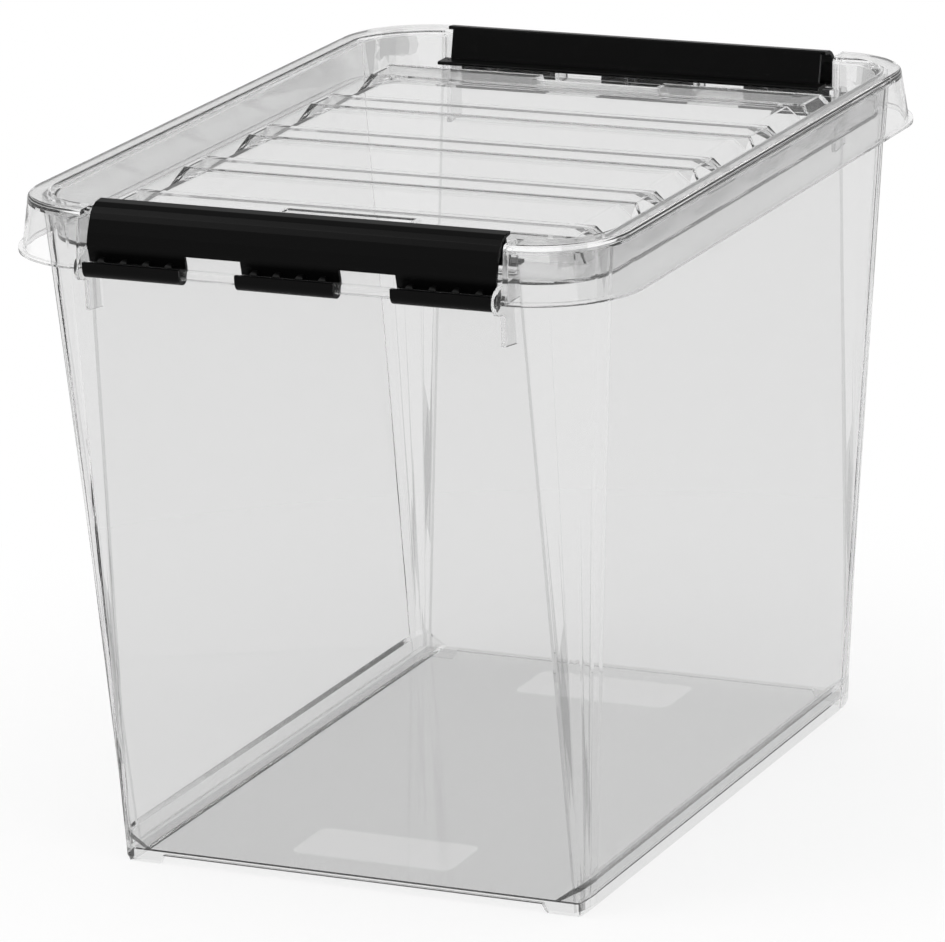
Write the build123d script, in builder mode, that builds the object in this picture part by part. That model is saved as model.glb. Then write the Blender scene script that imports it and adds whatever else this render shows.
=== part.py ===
"""Clear lidded storage box: tub, lid and two swing clips, sizes in mm."""
import os
from math import cos, radians, sin
from build123d import *

os.makedirs("parts", exist_ok=True)

# driving sizes of the tub, over its walls at the base and at the top
base_width, base_length = 285.0, 401.0
top_width, top_length = 341.0, 462.0
tub_height = 388.0
wall = 2.0                                  # between the posts, and of the skirts

# corner posts in flats: their reach along the short and long walls, low and high
post_low, post_high = (3.5, 18.0), (41.0, 32.0)
post_flats = 4
set_back, set_run = 0.6, 1.9                # of the walls between the posts, and its slope

# floor, feet and the bevels along the long walls
floor_top = 8.4
foot_chamfer, foot_rise = 2.0, 3.5
foot_ring = 5.0
foot_length = 25.0                          # of the corner feet, along the short walls
edge_rise = 5.6                             # of the raised edge between them
bevel_run, bevel_rise = 17.0, 12.0

# rim of the tub: a flange, a skirt that flares down from it and a lip
rim_side, rim_end, rim_radius = 8.8, 12.6, 50.0
flange_thick = 2.0
skirt_flare, skirt_depth = 3.8, 28.5
lip_out, lip_thick = 2.5, 2.2

# lid
seat_gap, plug_gap = 0.1, 0.5
rim_rise, rim_round = 3.4, 2.8
rim_bevel_run, rim_bevel = 3.6, 3.2          # at its inner edge
plug_radius = 40.0
lid_wall = 2.0
moat_depth, panel_depth, rib_depth = 20.5, 9.5, 7.6         # below the tub's top
panel_side, panel_end, panel_slope_x, panel_slope_y = 41.5, 58.0, 20.0, 13.0
rib_count, rib_gap = 5, 55.0
rib_width, rib_slope = 26.7, 7.15
rib_side, rib_side_slope = 31.2, 8.7
scoop_half, scoop_back, scoop_depth = 39.0, 12.0, 8.0
gusset_x, gusset_width, gusset_reach = 126.0, 3.0, 7.0

# clips, one at each short side, in a notch of the rim
hinge_drop, hinge_inset = 27.5, 3.4         # below the tub's top, inside the lip
bar_diameter, bore_gap, boss_radius = 6.2, 0.3, 7.5
clip_wall = 2.2
clip_half = 122.6
leg_inset, flange_out, notch_gap = 3.0, 1.0, 4.0
flange_rise, tub_notch_rise, lid_notch_rise = 13.1, 10.7, 12.5      # above the hinge axis
ear_gap, ear_thick = 0.9, 2.7
knuckles = ((-122.2, -63.2), (-29.5, 29.5), (63.2, 122.2))
knuckle_top = 9.5
bump_count, bump_pitch, bump_size = 4, 13.7, 5.0
clip_seats = (-90, -45, 0, 45, 90)

# sizes that follow
flange_width, flange_length = top_width + 2 * rim_side, top_length + 2 * rim_end
skirt_width, skirt_length = flange_width + 2 * skirt_flare, flange_length + 2 * skirt_flare
lip_width, lip_length = skirt_width + 2 * lip_out, skirt_length + 2 * lip_out
lip_bottom = tub_height - skirt_depth
skirt_bottom = lip_bottom + lip_thick
rim_top = tub_height + rim_rise
moat_floor = tub_height - moat_depth
moat_bottom = moat_floor - lid_wall
panel_top, rib_top = tub_height - panel_depth, tub_height - rib_depth
post_wall = wall + set_back
axis_y, axis_z = lip_length / 2 - hinge_inset, tub_height - hinge_drop
bore = bar_diameter / 2 + bore_gap
hook = bore + clip_wall
notch_half = clip_half + notch_gap
end_y = lip_length / 2 + 10


def slab(width, length, radius, z, height):
    """Straight block with rounded upright corners."""
    with BuildPart(mode=Mode.PRIVATE) as p:
        with BuildSketch(Plane.XY.offset(z)):
            RectangleRounded(width, length, radius)
        extrude(amount=height)
    return p.part


def taper(low, high, z0, z1):
    """Tapered block between two rectangles (width, length, corner radius)."""
    with BuildPart(mode=Mode.PRIVATE) as p:
        for size, z in ((low, z0), (high, z1)):
            with BuildSketch(Plane.XY.offset(z)):
                if size[2]:
                    RectangleRounded(*size)
                else:
                    Rectangle(size[0], size[1])
        loft(ruled=True)
    return p.part


def prism(outlines):
    """Solid with flat sides through outlines of (points, height)."""
    with BuildPart(mode=Mode.PRIVATE) as p:
        for points, z in outlines:
            with BuildSketch(Plane.XY.offset(z)):
                Polygon(*points, align=None)
        loft(ruled=True)
    return p.part


def ramp(low, high, z0, z1):
    """Block between two rectangles (x0, x1, y0, y1) at two heights."""
    return prism([([(x0, y0), (x1, y0), (x1, y1), (x0, y1)], z)
                  for (x0, x1, y0, y1), z in ((low, z0), (high, z1))])


def block(x0, x1, y0, y1, z0, z1):
    """Plain block from its limits."""
    return ramp((x0, x1, y0, y1), (x0, x1, y0, y1), z0, z1)


def along_x(points, x0, x1):
    """Profile in (y, z), carried along X from x0 to x1."""
    with BuildPart(mode=Mode.PRIVATE) as p:
        with BuildSketch(Plane.YZ.offset(min(x0, x1))):
            with BuildLine():
                Polyline(*points, close=True)
            make_face()
        extrude(amount=abs(x1 - x0))
    return p.part


def bar(radius, y, z, x0, x1):
    """Round bar along X."""
    with BuildPart(Plane.YZ.offset(min(x0, x1)), mode=Mode.PRIVATE) as p:
        with Locations((y, z)):
            Cylinder(radius, abs(x1 - x0), align=(Align.CENTER, Align.CENTER, Align.MIN))
    return p.part


def both_ends(shape):
    """The shape at the front end (towards -Y) and its mirror at the rear."""
    return shape + mirror(shape, about=Plane.XZ, mode=Mode.PRIVATE)


def both_sides(shape):
    return shape + mirror(shape, about=Plane.YZ, mode=Mode.PRIVATE)


def wall_size(z, inset=0.0):
    """Width and length over the posts at a height, less an inset on each side."""
    t = z / tub_height
    return (base_width + (top_width - base_width) * t - 2 * inset,
            base_length + (top_length - base_length) * t - 2 * inset)


def post_reach(z, inset=0.0):
    """How far a corner post reaches along the short and the long wall."""
    t = z / tub_height
    return [max(low + (high - low) * t - inset, 0.5) for low, high in zip(post_low, post_high)]


def post_points(z, inset):
    """Outline at a height: straight walls, and a quarter oval of flats at each corner."""
    (width, length), (rx, ry) = wall_size(z, inset), post_reach(z, inset)
    points = []
    for quarter, (sx, sy) in enumerate(((1, 1), (-1, 1), (-1, -1), (1, -1))):
        for k in range(post_flats + 1):
            turn = radians(90 * (quarter + k / post_flats))
            points.append((sx * (width / 2 - rx) + rx * cos(turn),
                           sy * (length / 2 - ry) + ry * sin(turn)))
    return points


def post_body(levels):
    """Solid inside the posts, through levels of (z, inset)."""
    return prism([(post_points(z, inset), z) for z, inset in levels])


def tub_body(levels):
    """The same, with the walls set back between the posts."""
    def end_wall(z):
        y = wall_size(z)[1] / 2
        half = wall_size(z)[0] / 2 - post_reach(z)[0]
        return [(-half, -y - 9), (half, -y - 9), (half, -y), (half - set_run, -y + set_back),
                (set_run - half, -y + set_back), (-half, -y)]

    def side_wall(z):
        x = wall_size(z)[0] / 2
        half = wall_size(z)[1] / 2 - post_reach(z)[1]
        return [(x + 9, -half), (x + 9, half), (x, half), (x - set_back, half - set_run),
                (x - set_back, set_run - half), (x, -half)]

    heights = levels[0][0] - 1, levels[-1][0] + 1
    return (post_body(levels) - both_ends(prism([(end_wall(z), z) for z in heights]))
            - both_sides(prism([(side_wall(z), z) for z in heights])))


def clip_y(u):
    """Y of a point that lies u inboard of the front hinge axis."""
    return -axis_y + u


def near_axis(points):
    """Points (u inboard, w up) from the front hinge axis, as (y, z)."""
    return [(clip_y(u), axis_z + w) for u, w in points]


# tub
outline_low, outline_high = (foot_rise, 0), (tub_height, 0)
with BuildPart() as tub:
    add(tub_body([(0, foot_chamfer), outline_low, outline_high]))
    add(slab(flange_width, flange_length, rim_radius, tub_height - flange_thick, flange_thick))
    add(post_body([(floor_top, post_wall), (tub_height + 1, post_wall)]), mode=Mode.SUBTRACT)
    for inset, mode in ((0, Mode.ADD), (wall, Mode.SUBTRACT)):
        add(taper((skirt_width - 2 * inset, skirt_length - 2 * inset, rim_radius + skirt_flare - inset),
                  (flange_width - 2 * inset, flange_length - 2 * inset, rim_radius - inset),
                  skirt_bottom, tub_height)
            - tub_body([(lip_bottom - 9, 0), (tub_height + 9, 0)])
            - slab(lip_width, lip_length, rim_radius, tub_height - flange_thick * (inset > 0), 9),
            mode=mode)
    add(slab(lip_width, lip_length, rim_radius + skirt_flare + lip_out, lip_bottom, lip_thick)
        - slab(skirt_width - 2 * wall, skirt_length - 2 * wall, rim_radius + skirt_flare - wall,
               lip_bottom, lip_thick))

    # hollow under the floor, and the raised edge between the corner feet
    under_width, under_length = wall_size(0, foot_ring)
    add(ramp((-under_width / 2, under_width / 2, -under_length / 2, under_length / 2),
             (-under_width / 2, under_width / 2, -under_length / 2, under_length / 2),
             -1, floor_top - wall), mode=Mode.SUBTRACT)
    foot_x, foot_y = base_width / 2 - foot_length, base_length / 2
    add(both_ends(ramp((-foot_x - 3, foot_x + 3, -foot_y - 9, -foot_y + foot_ring + 1),
                       (-foot_x, foot_x, -foot_y - 9, -foot_y + foot_ring + 1), -1, edge_rise)),
        mode=Mode.SUBTRACT)

    # bevels between the floor and the long walls
    bevel_x = wall_size(floor_top + bevel_rise, set_back)[0] / 2 - wall / 2
    bevel = [(bevel_x, floor_top + bevel_rise), (bevel_x - bevel_run, floor_top),
             (bevel_x - bevel_run, floor_top - wall), (bevel_x, floor_top + bevel_rise - 2 * wall)]
    with BuildPart(mode=Mode.PRIVATE) as bevels:
        with BuildSketch(Plane.XZ.offset(-(base_length / 2 - wall))):
            with BuildLine():
                Polyline(*bevel, close=True)
            make_face()
        extrude(amount=base_length - 2 * wall)
    add(both_sides(bevels.part) & tub_body([(0, wall / 2), (tub_height, wall / 2)]))

    # notches of the rim for the clips
    notch_y, skirt_y = top_length / 2 - 9, top_length / 2
    add(both_ends(block(-notch_half, notch_half, -end_y, -notch_y,
                        axis_z + tub_notch_rise, tub_height + 1)), mode=Mode.SUBTRACT)
    add(both_ends(block(-notch_half, notch_half, -end_y, -skirt_y,
                        lip_bottom - 1, axis_z + tub_notch_rise + 1)), mode=Mode.SUBTRACT)

    # cheeks that close the notches, ears and hinge bars
    wall_y = wall_size(axis_z, set_back)[1] / 2
    cheek = along_x([(-wall_y, lip_bottom), (-skirt_length / 2 + 0.6, lip_bottom),
                     (-flange_length / 2 + 0.6, tub_height), (-wall_y - 2.4, tub_height)],
                    notch_half, notch_half + 2.6)
    ear_wall = axis_y - wall_y + wall / 2
    ear_foot = axis_y - wall_size(axis_z - 27.5, set_back)[1] / 2 + wall / 2
    ear_x = clip_half + ear_gap
    ear = along_x(near_axis([(ear_wall, 10.5), (ear_foot, -27.5), (4.0, -25.5), (4.0, -8.0),
                             (-5.5, -5.5), (-4.3, 6.1), (3.5, 9.5)]), ear_x, ear_x + ear_thick)
    boss = bar(boss_radius, -axis_y, axis_z, ear_x, ear_x + ear_thick)
    add(both_ends(both_sides(cheek + (ear + boss))))
    add(both_ends(bar(bar_diameter / 2, -axis_y, axis_z, -ear_x - 1.2, ear_x + 1.2)))

# lid
plug_low = [size - 2 * plug_gap for size in wall_size(moat_bottom, post_wall)]
plug_top = [size - 2 * plug_gap for size in wall_size(tub_height, post_wall)]
panel_width, panel_length = top_width - 2 * panel_side, top_length - 2 * panel_end
rib_pitch = rib_width + rib_gap
rib_length = top_width - 2 * rib_side
rim_curve = [(rim_round * (1 - cos(radians(a))), rim_round * (1 - sin(radians(a)))) for a in (0, 30, 60, 90)]
rows = [(i - (rib_count - 1) / 2) * rib_pitch for i in range(rib_count)]


def raised_middle(inset, drop):
    """Panel with its cross ribs and the finger scoops, shrunk by an inset and lowered."""
    whole = taper((panel_width + 2 * panel_slope_x - 2 * inset,
                   panel_length + 2 * panel_slope_y - 2 * inset, 12),
                  (panel_width - 2 * inset, panel_length - 2 * inset, 8),
                  moat_bottom - drop / 20, panel_top - drop)
    for y in rows:
        rib = taper((rib_length + 2 * rib_side_slope - 2 * inset, rib_width + 2 * rib_slope - 2 * inset, 0),
                    (rib_length - 2 * inset, rib_width - 2 * inset, 0), moat_floor - 0.5, rib_top - drop)
        whole += Pos(0, y, 0) * rib
    edge = rows[-1] + rib_width / 2 - scoop_back - inset
    scoop = along_x([(-edge, rib_top + 1), (-edge - 0.5 * scoop_back, rib_top - scoop_depth - drop),
                     (-edge - 3 * scoop_back, rib_top - scoop_depth - drop), (-edge - 3 * scoop_back, rib_top + 1)],
                    -scoop_half - inset, scoop_half + inset)
    return whole - both_ends(scoop)


with BuildPart() as lid:
    # rim with a rounded outer edge
    add(slab(flange_width, flange_length, rim_radius, tub_height + seat_gap,
             rim_rise - seat_gap - rim_round))
    for (low_in, low), (high_in, high) in zip(rim_curve, rim_curve[1:]):
        add(taper((flange_width - 2 * low_in, flange_length - 2 * low_in, rim_radius - low_in),
                  (flange_width - 2 * high_in, flange_length - 2 * high_in, rim_radius - high_in),
                  rim_top - low, rim_top - high))
    add(taper((*plug_low, plug_radius), (*plug_top, plug_radius), moat_bottom, tub_height + 1))
    inner_low, inner_top = [[size - 2 * lid_wall for size in plug] for plug in (plug_low, plug_top)]
    add(taper((*inner_low, plug_radius - lid_wall), (*inner_top, plug_radius - lid_wall),
              moat_floor, rim_top + 1), mode=Mode.SUBTRACT)
    add(taper((*inner_top, plug_radius - lid_wall),
              (inner_top[0] + 2 * rim_bevel_run, inner_top[1] + 2 * rim_bevel_run,
               plug_radius - lid_wall + rim_bevel_run), rim_top - rim_bevel, rim_top + 0.01),
        mode=Mode.SUBTRACT)
    add(raised_middle(0, 0))
    add(raised_middle(2.5, lid_wall), mode=Mode.SUBTRACT)

    # gussets beside the two outer ribs
    for side in (1, -1):
        y = rows[0] + side * rib_width / 2
        foot = y + side * gusset_reach
        add(both_ends(both_sides(
            along_x([(y - side, rib_top - 2), (y - side, rib_top), (y, rib_top), (foot, panel_top - 0.8),
                     (foot, panel_top - lid_wall)], gusset_x - gusset_width, gusset_x))))

    # rim lowered under each clip, with a lip over the tub wall
    notch_z = axis_z + lid_notch_rise
    lip_y = top_length / 2 + 0.5
    add(both_ends(block(-notch_half, notch_half, -end_y, -top_length / 2 + 8, notch_z, rim_top + 1)),
        mode=Mode.SUBTRACT)
    add(both_ends(block(-notch_half + 0.8, notch_half - 0.8, -lip_y, -plug_top[1] / 2 + 3,
                        axis_z + tub_notch_rise + seat_gap, notch_z)))
    # seats that the clip flanges press on
    for x in clip_seats:
        add(both_ends(block(x - 1.2, x + 1.2, -plug_low[1] / 2 + 3, -plug_low[1] / 2 + 16,
                            moat_floor - 0.5, axis_z + flange_rise - seat_gap)))


# clips: plates of one thickness along centre lines, in (u, w) from the hinge axis
half_wall = clip_wall / 2
face_line = [(bore + half_wall, 0), (bore + half_wall, 3.4), (3.4, 8.0), (2.7, 12.0), (4.3, 18.1),
             (7.3, 25.0), (9.1, 28.1), (11.7, 30.6), (14.9, 32.2), (20.6, 32.8)]
leg_line = [(20.6, 32.8), (25.3, flange_rise + half_wall + 1), (25.3, flange_rise + half_wall)]
flange_line = [(25.3, flange_rise + half_wall), (36.0, flange_rise + half_wall)]


def clip_plate(line, half, radius=0.0):
    """Plate along a centre line with round edges, as wide as twice the half."""
    with BuildPart(mode=Mode.PRIVATE) as p:
        with BuildSketch(Plane.YZ.offset(-half)):
            with BuildLine():
                if radius:
                    path = FilletPolyline(*near_axis(line), radius=radius, mode=Mode.PRIVATE)
                else:
                    path = Polyline(*near_axis(line), mode=Mode.PRIVATE)
                offset(path, amount=half_wall, side=Side.BOTH)
            make_face()
        extrude(amount=2 * half)
    return p.part


with BuildPart() as front_clip:
    add(clip_plate(face_line, clip_half, 1.5))
    add(clip_plate(leg_line, clip_half - leg_inset))
    add(clip_plate(flange_line, clip_half + flange_out))
    # hooks under the hinge bar
    with BuildPart(mode=Mode.PRIVATE) as hooks:
        with BuildSketch(Plane.YZ.offset(-clip_half)):
            with Locations((-axis_y, axis_z)):
                Circle(hook)
                Circle(bore, mode=Mode.SUBTRACT)
            with Locations((-axis_y, axis_z + hook)):
                Rectangle(4 * hook, 2 * hook, mode=Mode.SUBTRACT)
            with Locations((-axis_y - bore - half_wall, axis_z + 1.85)):
                Rectangle(clip_wall, 3.7)
        extrude(amount=2 * clip_half)
    add(hooks.part)
    # bumps that keep the bar in the hooks
    for x0, x1 in knuckles:
        for k in range(bump_count):
            x = (x0 + x1) / 2 + (k - (bump_count - 1) / 2) * bump_pitch
            bump = along_x(near_axis([(-0.6, bore), (bore + 0.8, bore), (bore + 0.8, 5.6), (1.8, 5.3),
                                      (0.3, 4.6)]), x - bump_size / 2, x + bump_size / 2)
            near, far = clip_y(-2), clip_y(bore + 2)
            add(bump & ramp((x - bump_size / 2, x + bump_size / 2, near, far),
                            (x - bump_size / 5, x + bump_size / 5, near, far), axis_z + 3, axis_z + 6))
    # windows between the hooks
    limits = [-clip_half - 1, *(x for pair in knuckles for x in pair), clip_half + 1]
    for x0, x1 in zip(limits[::2], limits[1::2]):
        add(block(x0, x1, clip_y(-hook - 1), clip_y(hook + 1), axis_z - hook - 1,
                  axis_z + knuckle_top), mode=Mode.SUBTRACT)

rear_clip_part = mirror(front_clip.part, about=Plane.XZ)

pieces = {"tub": tub.part, "lid": lid.part, "front_clip": front_clip.part,
          "rear_clip": rear_clip_part}
for name, shape in pieces.items():
    shape.label = name
    export_step(shape, f"parts/{name}.step")
    print(name, "volume cm3", round(shape.volume / 1000, 1), shape.bounding_box())
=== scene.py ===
import bpy, bmesh, math
from mathutils import Matrix, Vector


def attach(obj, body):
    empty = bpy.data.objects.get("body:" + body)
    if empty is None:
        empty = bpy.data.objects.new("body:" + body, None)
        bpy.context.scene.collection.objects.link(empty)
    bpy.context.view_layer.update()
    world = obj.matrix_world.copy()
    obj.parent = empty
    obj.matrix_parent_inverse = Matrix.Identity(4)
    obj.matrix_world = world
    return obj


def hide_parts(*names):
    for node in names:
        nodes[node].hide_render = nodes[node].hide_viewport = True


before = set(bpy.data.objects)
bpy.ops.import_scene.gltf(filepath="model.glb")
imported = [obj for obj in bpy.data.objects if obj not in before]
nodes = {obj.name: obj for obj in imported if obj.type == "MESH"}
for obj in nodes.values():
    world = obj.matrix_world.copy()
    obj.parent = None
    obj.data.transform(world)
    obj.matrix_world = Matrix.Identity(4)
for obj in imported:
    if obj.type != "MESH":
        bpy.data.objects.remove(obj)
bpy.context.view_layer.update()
print("frame loaded:", ", ".join(sorted(nodes)))

imageWidth, imageHeight = 945, 942


# camera at the photograph's viewing angle
cameraSettings = {
    "azimuth": 25.16, "elevation": 16.03, "roll": -1.86,    # degrees
    "distance": 3.8159, "target": (0, 0, 0.2),              # metres
    "aside": (-0.00265, -0.00083),                          # metres to the right and up
    "focalPixels": 6623.2, "centre": (483.56, 451.79),      # in the image
}


def makeCamera(s):
    az, el = math.radians(s["azimuth"]), math.radians(s["elevation"])
    back = Vector((math.sin(az) * math.cos(el), -math.cos(az) * math.cos(el), math.sin(el)))
    right = Vector((math.cos(az), math.sin(az), 0))
    up = back.cross(right)
    turn = Matrix.Rotation(math.radians(s["roll"]), 3, back)
    right, up = turn @ right, turn @ up
    place = Vector(s["target"]) + back * s["distance"] + right * s["aside"][0] + up * s["aside"][1]
    data = bpy.data.cameras.new("camera")
    data.sensor_width = 36
    data.lens = s["focalPixels"] * data.sensor_width / imageWidth
    data.shift_x = (imageWidth / 2 - s["centre"][0]) / imageWidth
    data.shift_y = (s["centre"][1] - imageHeight / 2) / imageWidth
    data.clip_start, data.clip_end = 0.1, 50
    cam = bpy.data.objects.new("camera", data)
    bpy.context.scene.collection.objects.link(cam)
    cam.matrix_world = Matrix.Translation(place) @ Matrix((right, up, back)).transposed().to_4x4()
    bpy.context.scene.camera = cam


makeCamera(cameraSettings)


# materials
def newMaterial(name):
    mat = bpy.data.materials.new(name)
    mat.use_nodes = True
    tree = mat.node_tree
    return mat, tree, tree.nodes["Principled BSDF"]


def objectNoise(tree, scale, detail=2.0, stretch=(1, 1, 1)):
    coord = tree.nodes.new("ShaderNodeTexCoord")
    mapping = tree.nodes.new("ShaderNodeMapping")
    mapping.inputs["Scale"].default_value = stretch
    noise = tree.nodes.new("ShaderNodeTexNoise")
    noise.inputs["Scale"].default_value = scale
    noise.inputs["Detail"].default_value = detail
    tree.links.new(coord.outputs["Object"], mapping.inputs["Vector"])
    tree.links.new(mapping.outputs["Vector"], noise.inputs["Vector"])
    return noise


def remap(tree, source, low, high):
    node = tree.nodes.new("ShaderNodeMapRange")
    node.inputs["To Min"].default_value = low
    node.inputs["To Max"].default_value = high
    tree.links.new(source, node.inputs["Value"])
    return node.outputs["Result"]


def bump(tree, shader, source, strength, distance):
    node = tree.nodes.new("ShaderNodeBump")
    node.inputs["Strength"].default_value = strength
    node.inputs["Distance"].default_value = distance
    tree.links.new(source, node.inputs["Height"])
    tree.links.new(node.outputs["Normal"], shader.inputs["Normal"])


# clear plastic: grey of each wall, share that is clear, roughness and ripple; on the sides, steps and rib
# fronts the grey is painted shade
clearFinishesAndShades = {
    "clearPostPlastic": {"grey": 0.9, "clear": 0.98, "rough": (0.0, 0.02), "flow": 0.02},
    # step faces where the walls meet the posts: a dark grey, painted shade line
    "clearStepPaintedShade": {"grey": 0.6, "clear": 0.95, "rough": (0.02, 0.06), "flow": 0.0},
    "clearEdgePlastic": {"grey": 0.96, "clear": 0.55, "rough": (0.2, 0.3), "flow": 0.0},
    "clearBevelPlastic": {"grey": 0.98, "clear": 0.97, "rough": (0.15, 0.25), "flow": 0.0},
    "clearWallPlastic": {"grey": 0.87, "clear": 0.97, "rough": (0.0, 0.02), "flow": 0.02},
    "clearFloorPlastic": {
        "grey": 0.78, "clear": 0.94, "rough": (0.02, 0.05), "flow": 0.03,
        "plates": {"middle": (0, 0.153), "half": (0.0495, 0.022), "corner": 0.006, "grey": 0.9},
    },
    "clearSkirtPlastic": {"grey": 0.985, "clear": 0.98, "rough": (0.0, 0.02), "flow": 0.01},
    # faces towards x: a darker grey, painted shade on the box's sides
    "clearSidePaintedShade": {"grey": 0.84, "clear": 0.96, "rough": (0.0, 0.02), "flow": 0.01},
    "clearLidPlastic": {"grey": 0.93, "clear": 0.97, "rough": (0.0, 0.02), "flow": 0.01},
    # lid faces towards x: a slightly darker grey, painted shade on the lid's sides
    "clearLidSidePaintedShade": {"grey": 0.97, "clear": 0.97, "rough": (0.0, 0.02), "flow": 0.01},
    # rib front faces: a darker grey, painted shade lines along the ribs
    "clearRibPaintedShade": {"grey": 0.72, "clear": 0.9, "rough": (0.05, 0.1), "flow": 0.0},
}
clearSettings = {
    "ior": 1.2, "cloud": (9, 3, (1, 1, 0.35)),              # scale, detail and stretch of each noise
    "ripple": (60, 2, (1, 1, 0.2)), "rippleDepth": 0.001,
}


def grey(level):
    return (level, level, level, 1)


# 1 inside two bare plates with rounded corners, which mirror each other in y
def plateMask(tree, plates):
    (midX, midY), (halfX, halfY), radius = plates["middle"], plates["half"], plates["corner"]
    link = tree.nodes.new("ShaderNodeTexCoord").outputs["Object"]
    steps = (
        ("ABSOLUTE", None), ("SUBTRACT", (midX, midY, 0)), ("ABSOLUTE", None),
        ("SUBTRACT", (halfX - radius, halfY - radius, 1)), ("MAXIMUM", (0, 0, 0)), ("LENGTH", None),
    )
    for operation, by in steps:
        node = tree.nodes.new("ShaderNodeVectorMath")
        node.operation = operation
        tree.links.new(link, node.inputs[0])
        if by:
            node.inputs[1].default_value = by
        link = node.outputs["Value" if operation == "LENGTH" else "Vector"]
    inside = tree.nodes.new("ShaderNodeMath")
    inside.operation = "LESS_THAN"
    tree.links.new(link, inside.inputs[0])
    inside.inputs[1].default_value = radius
    return inside.outputs["Value"]


def clearPlastic(name, s, shared):
    mat, tree, shader = newMaterial(name)
    shader.inputs["Base Color"].default_value = grey(s["grey"])
    if "plates" in s:
        inside = plateMask(tree, s["plates"])
        tint = tree.nodes.new("ShaderNodeMix")
        tint.data_type = "RGBA"
        tint.inputs["A"].default_value = grey(s["grey"])
        tint.inputs["B"].default_value = grey(s["plates"]["grey"])
        tree.links.new(inside, tint.inputs["Factor"])
        tree.links.new(tint.outputs["Result"], shader.inputs["Base Color"])
    shader.inputs["Transmission Weight"].default_value = s["clear"]
    shader.inputs["IOR"].default_value = shared["ior"]
    cloudy = objectNoise(tree, *shared["cloud"])
    tree.links.new(remap(tree, cloudy.outputs["Fac"], *s["rough"]), shader.inputs["Roughness"])
    if s["flow"]:
        flow = objectNoise(tree, *shared["ripple"])
        bump(tree, shader, flow.outputs["Fac"], s["flow"], shared["rippleDepth"])


for name, settings in clearFinishesAndShades.items():
    clearPlastic(name, settings, clearSettings)

blackSettings = {
    "grey": 0.002, "rough": (0.25, 0.34), "specular": 0.08,
    "grain": (900, 3), "grainStrength": 0.06, "grainDepth": 0.0002,
}


def blackPlastic(name, s):
    mat, tree, shader = newMaterial(name)
    shader.inputs["Base Color"].default_value = grey(s["grey"])
    shader.inputs["Specular IOR Level"].default_value = s["specular"]
    grain = objectNoise(tree, *s["grain"])
    tree.links.new(remap(tree, grain.outputs["Fac"], *s["rough"]), shader.inputs["Roughness"])
    bump(tree, shader, grain.outputs["Fac"], s["grainStrength"], s["grainDepth"])


blackPlastic("blackClipPlastic", blackSettings)
print("materials made")


# which finish or painted shade a face has, from its place and its direction
def tubFinishAndShade(place, normal, s):
    halfWidth, halfLength = [low + rise * place.z for low, rise in s["walls"]]
    beyond = max(abs(place.x) - halfWidth, abs(place.y) - halfLength)
    least, most = sorted((abs(normal.x), abs(normal.y)))
    onSide = abs(normal.x) > s["side"]
    # faces towards x in the skirt and upper walls get the darker painted side shade
    if place.z > s["skirtFrom"] and beyond > s["skirtOut"]:
        return "clearSidePaintedShade" if onSide else "clearSkirtPlastic"
    if most > s["square"]:
        return "clearSidePaintedShade" if place.z > s["skirtFrom"] and onSide else "clearWallPlastic"
    # step faces get the dark painted shade line
    if least > s["step"][0] and most > s["step"][1]:
        return "clearStepPaintedShade"
    if abs(normal.z) > s["square"] and place.z < s["floorTop"]:
        return "clearFloorPlastic"
    if s["bevel"][0] < abs(normal.z) < s["bevel"][1] and place.z < s["bevelTop"]:
        return "clearBevelPlastic"
    return "clearPostPlastic"


def lidFinishAndShade(place, normal, s):
    if abs(place.x) > s["recess"][0] or abs(place.y) > s["recess"][1]:
        # lid faces towards x get the slightly darker painted side shade
        return "clearLidSidePaintedShade" if abs(normal.x) > s["side"] else "clearSkirtPlastic"
    # rib fronts get the darker painted shade
    if s["rib"][0] < abs(normal.y) < s["rib"][1] and place.z > s["ribsFrom"]:
        return "clearRibPaintedShade"
    return "clearLidPlastic"


def clipFinish(place, normal, s):
    return "blackClipPlastic"


# moulded pieces: merged copies of the CAD nodes with their edges rounded
def mouldedCopy(name, node, finish, s):
    bm = bmesh.new()
    bm.from_mesh(nodes[node].data)
    bmesh.ops.remove_doubles(bm, verts=bm.verts, dist=s["merge"])
    for face in bm.faces:
        face.smooth = True
        face.material_index = s["finishesAndShades"].index(finish(face.calc_center_median(), face.normal, s))
    mesh = bpy.data.meshes.new(name)
    bm.to_mesh(mesh)
    bm.free()
    for each in s["finishesAndShades"]:
        mesh.materials.append(bpy.data.materials[each])
    piece = bpy.data.objects.new(name, mesh)
    bpy.context.scene.collection.objects.link(piece)
    edge = piece.modifiers.new("edgeRadius", "BEVEL")
    edge.width, edge.segments = s["radius"], s["segments"]
    edge.limit_method, edge.angle_limit = "ANGLE", math.radians(s["crease"])
    edge.harden_normals = True
    edge.material = 0
    normals = piece.modifiers.new("flatFaces", "WEIGHTED_NORMAL")
    normals.keep_sharp = True
    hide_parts(node)
    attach(piece, node + "_body")
    print(name, len(mesh.polygons), "faces")


# sizes in metres, normals as sines, the crease in degrees; the first finish is that of the edges
tubSettings = {
    "merge": 2e-6, "radius": 0.0005, "segments": 2, "crease": 13, "slot": "clear_plastic",
    "walls": ((0.1425, 0.0722), (0.2005, 0.0786)),          # half sizes at the floor and their rise
    "skirtFrom": 0.358, "skirtOut": 0.002, "floorTop": 0.01, "bevelTop": 0.03,
    "square": 0.99, "side": 0.8, "step": (0.25, 0.93), "bevel": (0.2, 0.98),
    "finishesAndShades": (
        "clearEdgePlastic", "clearPostPlastic", "clearStepPaintedShade", "clearWallPlastic", "clearFloorPlastic",
        "clearSkirtPlastic", "clearSidePaintedShade", "clearBevelPlastic",
    ),
}
mouldedCopy("mouldedTub", "tub", tubFinishAndShade, tubSettings)

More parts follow.
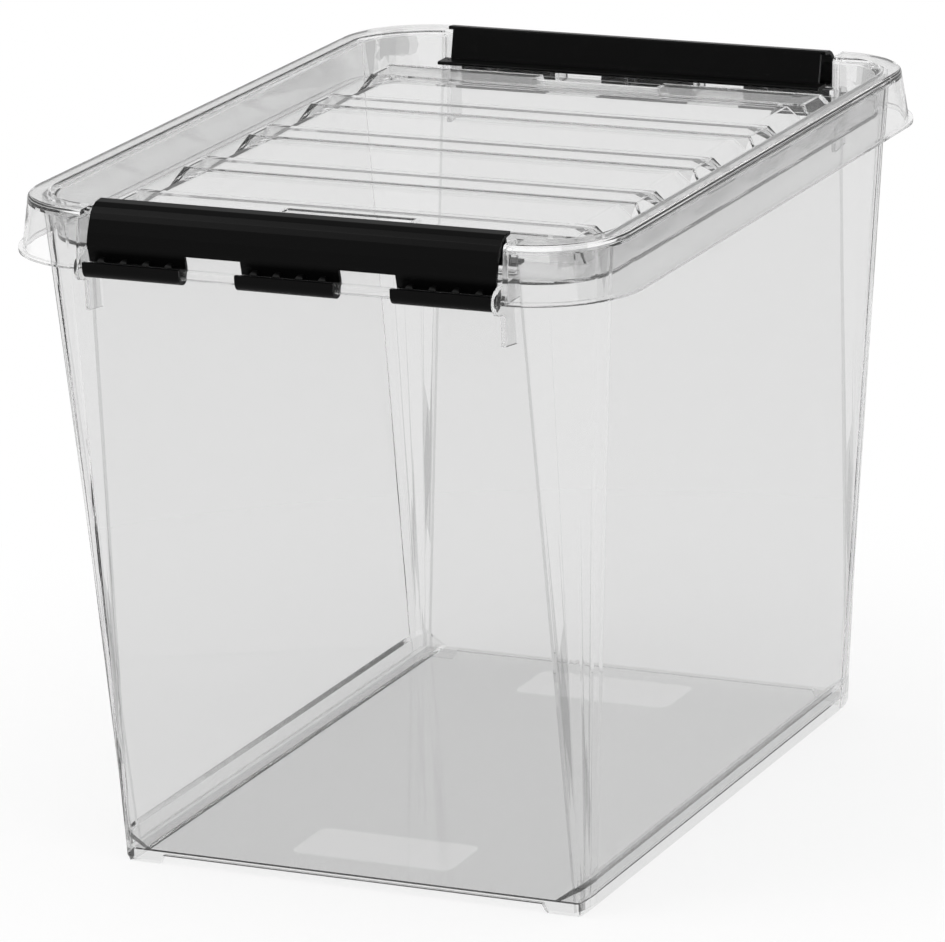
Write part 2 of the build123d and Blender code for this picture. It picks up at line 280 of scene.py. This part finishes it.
lidSettings = {
    "merge": 2e-6, "radius": 0.0007, "segments": 2, "crease": 25, "slot": "clear_lid_plastic",
    "recess": (0.161, 0.2215), "ribsFrom": 0.376, "side": 0.8, "rib": (0.3, 0.95),
    "finishesAndShades": (
        "clearEdgePlastic", "clearLidPlastic", "clearLidSidePaintedShade", "clearRibPaintedShade", "clearSkirtPlastic",
    ),
}
mouldedCopy("mouldedLid", "lid", lidFinishAndShade, lidSettings)

clipSettings = {
    "merge": 2e-6, "radius": 0.0004, "segments": 2, "crease": 30, "slot": "black_plastic",
    "finishesAndShades": ("blackClipPlastic",),
}
for name, node in (("mouldedFrontClip", "front_clip"), ("mouldedRearClip", "rear_clip")):
    mouldedCopy(name, node, clipFinish, clipSettings)
print("moulded pieces made")


# floor, lamps and world
studioSettings = {
    "floorRadius": 6.0, "floorSegments": 96, "floorGrey": 0.93, "floorRough": 0.8, "floorSpecular": 0.1,
    "glow": (0.8, 0.2, 0.6),        # at the middle, and the radii between which it rises to 1
    "reflected": 0.72, "worldLight": 0.8, "ceiling": 0.55, "fade": (0.1, 0.7), "aim": (0, 0, 0.2),
    "lamps": (      # name, place, size, power
        ("keySoftbox", (-1.6, -1.4, 2.6), 1.6, 22),
        ("fillSoftbox", (2.2, -1.0, 2.0), 1.6, 14),
    ),
}


# 1 for what is seen directly or through the plastic, less for what it mirrors
def backdropLevel(tree, mirrored):
    rays = tree.nodes.new("ShaderNodeLightPath")
    only = tree.nodes.new("ShaderNodeMath")
    only.operation = "SUBTRACT"
    only.use_clamp = True
    tree.links.new(rays.outputs["Is Glossy Ray"], only.inputs[0])
    tree.links.new(rays.outputs["Is Transmission Ray"], only.inputs[1])
    level = tree.nodes.new("ShaderNodeMix")
    level.inputs["A"].default_value = 1.0
    level.inputs["B"].default_value = mirrored
    tree.links.new(only.outputs["Value"], level.inputs["Factor"])
    return rays, level.outputs["Result"]


def makeFloor(s):
    bm = bmesh.new()
    bmesh.ops.create_circle(bm, cap_ends=True, segments=s["floorSegments"], radius=s["floorRadius"])
    mesh = bpy.data.meshes.new("floor")
    bm.to_mesh(mesh)
    bm.free()
    floor = bpy.data.objects.new("floor", mesh)
    bpy.context.scene.collection.objects.link(floor)
    mat, tree, shader = newMaterial("paleFloor")
    shader.inputs["Base Color"].default_value = grey(s["floorGrey"])
    shader.inputs["Roughness"].default_value = s["floorRough"]
    shader.inputs["Specular IOR Level"].default_value = s["floorSpecular"]
    glow = tree.nodes.new("ShaderNodeEmission")
    mix = tree.nodes.new("ShaderNodeMixShader")
    coord = tree.nodes.new("ShaderNodeTexCoord")
    length = tree.nodes.new("ShaderNodeVectorMath")
    length.operation = "LENGTH"
    tree.links.new(coord.outputs["Object"], length.inputs[0])
    ramp = tree.nodes.new("ShaderNodeMapRange")
    ramp.interpolation_type = "SMOOTHSTEP"
    ramp.inputs["To Min"].default_value = s["glow"][0]
    ramp.inputs["From Min"].default_value = s["glow"][1]
    ramp.inputs["From Max"].default_value = s["glow"][2]
    tree.links.new(backdropLevel(tree, s["reflected"])[1], glow.inputs["Strength"])
    tree.links.new(length.outputs["Value"], ramp.inputs["Value"])
    tree.links.new(ramp.outputs["Result"], mix.inputs["Fac"])
    tree.links.new(shader.outputs["BSDF"], mix.inputs[1])
    tree.links.new(glow.outputs["Emission"], mix.inputs[2])
    tree.links.new(mix.outputs["Shader"], tree.nodes["Material Output"].inputs["Surface"])
    mesh.materials.append(mat)


def makeLamps(s):
    for name, place, size, power in s["lamps"]:
        data = bpy.data.lights.new(name, "AREA")
        data.size, data.energy = size, power
        lamp = bpy.data.objects.new(name, data)
        bpy.context.scene.collection.objects.link(lamp)
        lamp.location = place
        lamp.rotation_euler = (Vector(s["aim"]) - Vector(place)).to_track_quat("-Z", "Y").to_euler()


def makeWorld(s):
    world = bpy.data.worlds.new("studio")
    bpy.context.scene.world = world
    world.use_nodes = True
    tree = world.node_tree
    back = tree.nodes["Background"]
    coord = tree.nodes.new("ShaderNodeTexCoord")
    parts = tree.nodes.new("ShaderNodeSeparateXYZ")
    tree.links.new(coord.outputs["Generated"], parts.inputs["Vector"])
    fade = tree.nodes.new("ShaderNodeMapRange")
    fade.inputs["From Min"].default_value = s["fade"][0]
    fade.inputs["From Max"].default_value = s["fade"][1]
    fade.inputs["To Min"].default_value = 1.0
    fade.inputs["To Max"].default_value = s["ceiling"]
    tree.links.new(parts.outputs["Z"], fade.inputs["Value"])
    rays, level = backdropLevel(tree, s["reflected"])
    shown = tree.nodes.new("ShaderNodeMath")
    shown.operation = "MULTIPLY"
    tree.links.new(fade.outputs["Result"], shown.inputs[0])
    tree.links.new(level, shown.inputs[1])

    # plain light for diffuse rays, the pale backdrop for glossy and transmission rays
    seen = tree.nodes.new("ShaderNodeMath")
    seen.operation = "MAXIMUM"
    tree.links.new(rays.outputs["Is Transmission Ray"], seen.inputs[0])
    tree.links.new(rays.outputs["Is Glossy Ray"], seen.inputs[1])
    light = tree.nodes.new("ShaderNodeMix")
    light.inputs["A"].default_value = s["worldLight"]
    tree.links.new(seen.outputs["Value"], light.inputs["Factor"])
    tree.links.new(shown.outputs["Value"], light.inputs["B"])
    strength = tree.nodes.new("ShaderNodeMix")
    strength.inputs["B"].default_value = 1.0
    tree.links.new(rays.outputs["Is Camera Ray"], strength.inputs["Factor"])
    tree.links.new(light.outputs["Result"], strength.inputs["A"])
    tree.links.new(strength.outputs["Result"], back.inputs["Strength"])
    back.inputs["Color"].default_value = (1, 1, 1, 1)


makeFloor(studioSettings)
makeLamps(studioSettings)
makeWorld(studioSettings)
bpy.context.scene.view_settings.view_transform = "Standard"
print("studio made")
